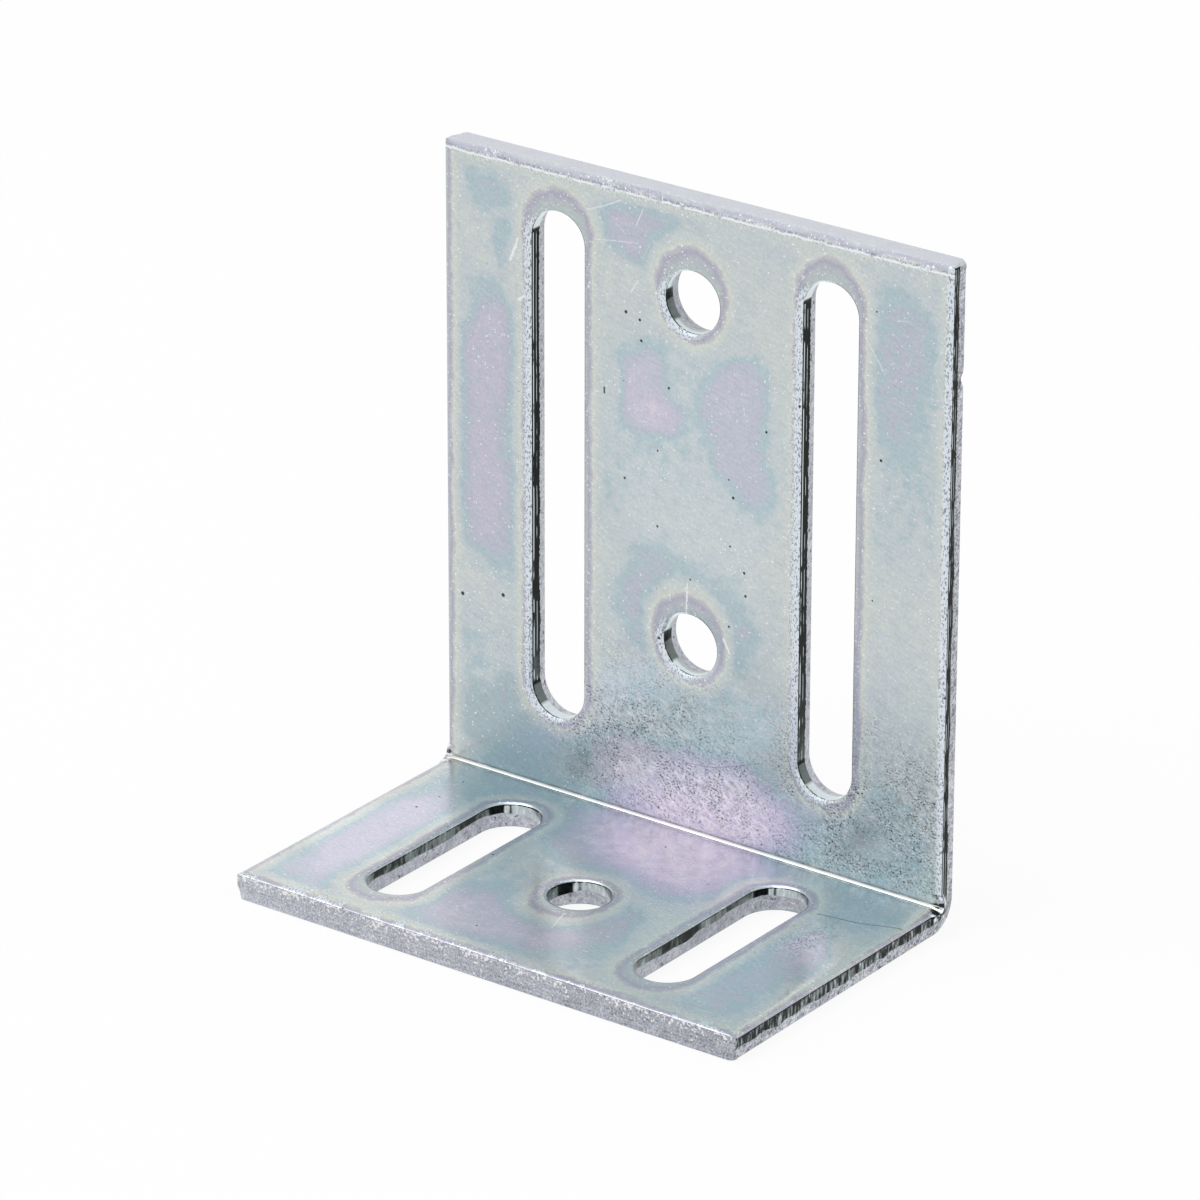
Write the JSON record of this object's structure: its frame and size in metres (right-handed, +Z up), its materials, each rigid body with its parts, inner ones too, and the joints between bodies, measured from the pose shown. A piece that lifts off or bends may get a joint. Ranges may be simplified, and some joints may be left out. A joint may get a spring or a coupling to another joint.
{
  "type": "adjustable angle bracket",
  "caption": "Right-angled steel bracket folded from one punched sheet, with long slots for adjustment and round holes for fixing in both legs.",
  "frame": {"origin": "middle of the bounding box's bottom face, under the short leg", "axes": "+X along the bend, -Y towards the short leg's free edge, +Z up the tall leg"},
  "size_m": [0.0658, 0.04, 0.075],
  "materials": {
    "zinc_plated_steel": "blue-bright zinc plating with a thick, faintly iridescent passivation film, satin"
  },
  "bodies": {
    "root": {"bracket": "zinc_plated_steel"}
  },
  "joints": []
}
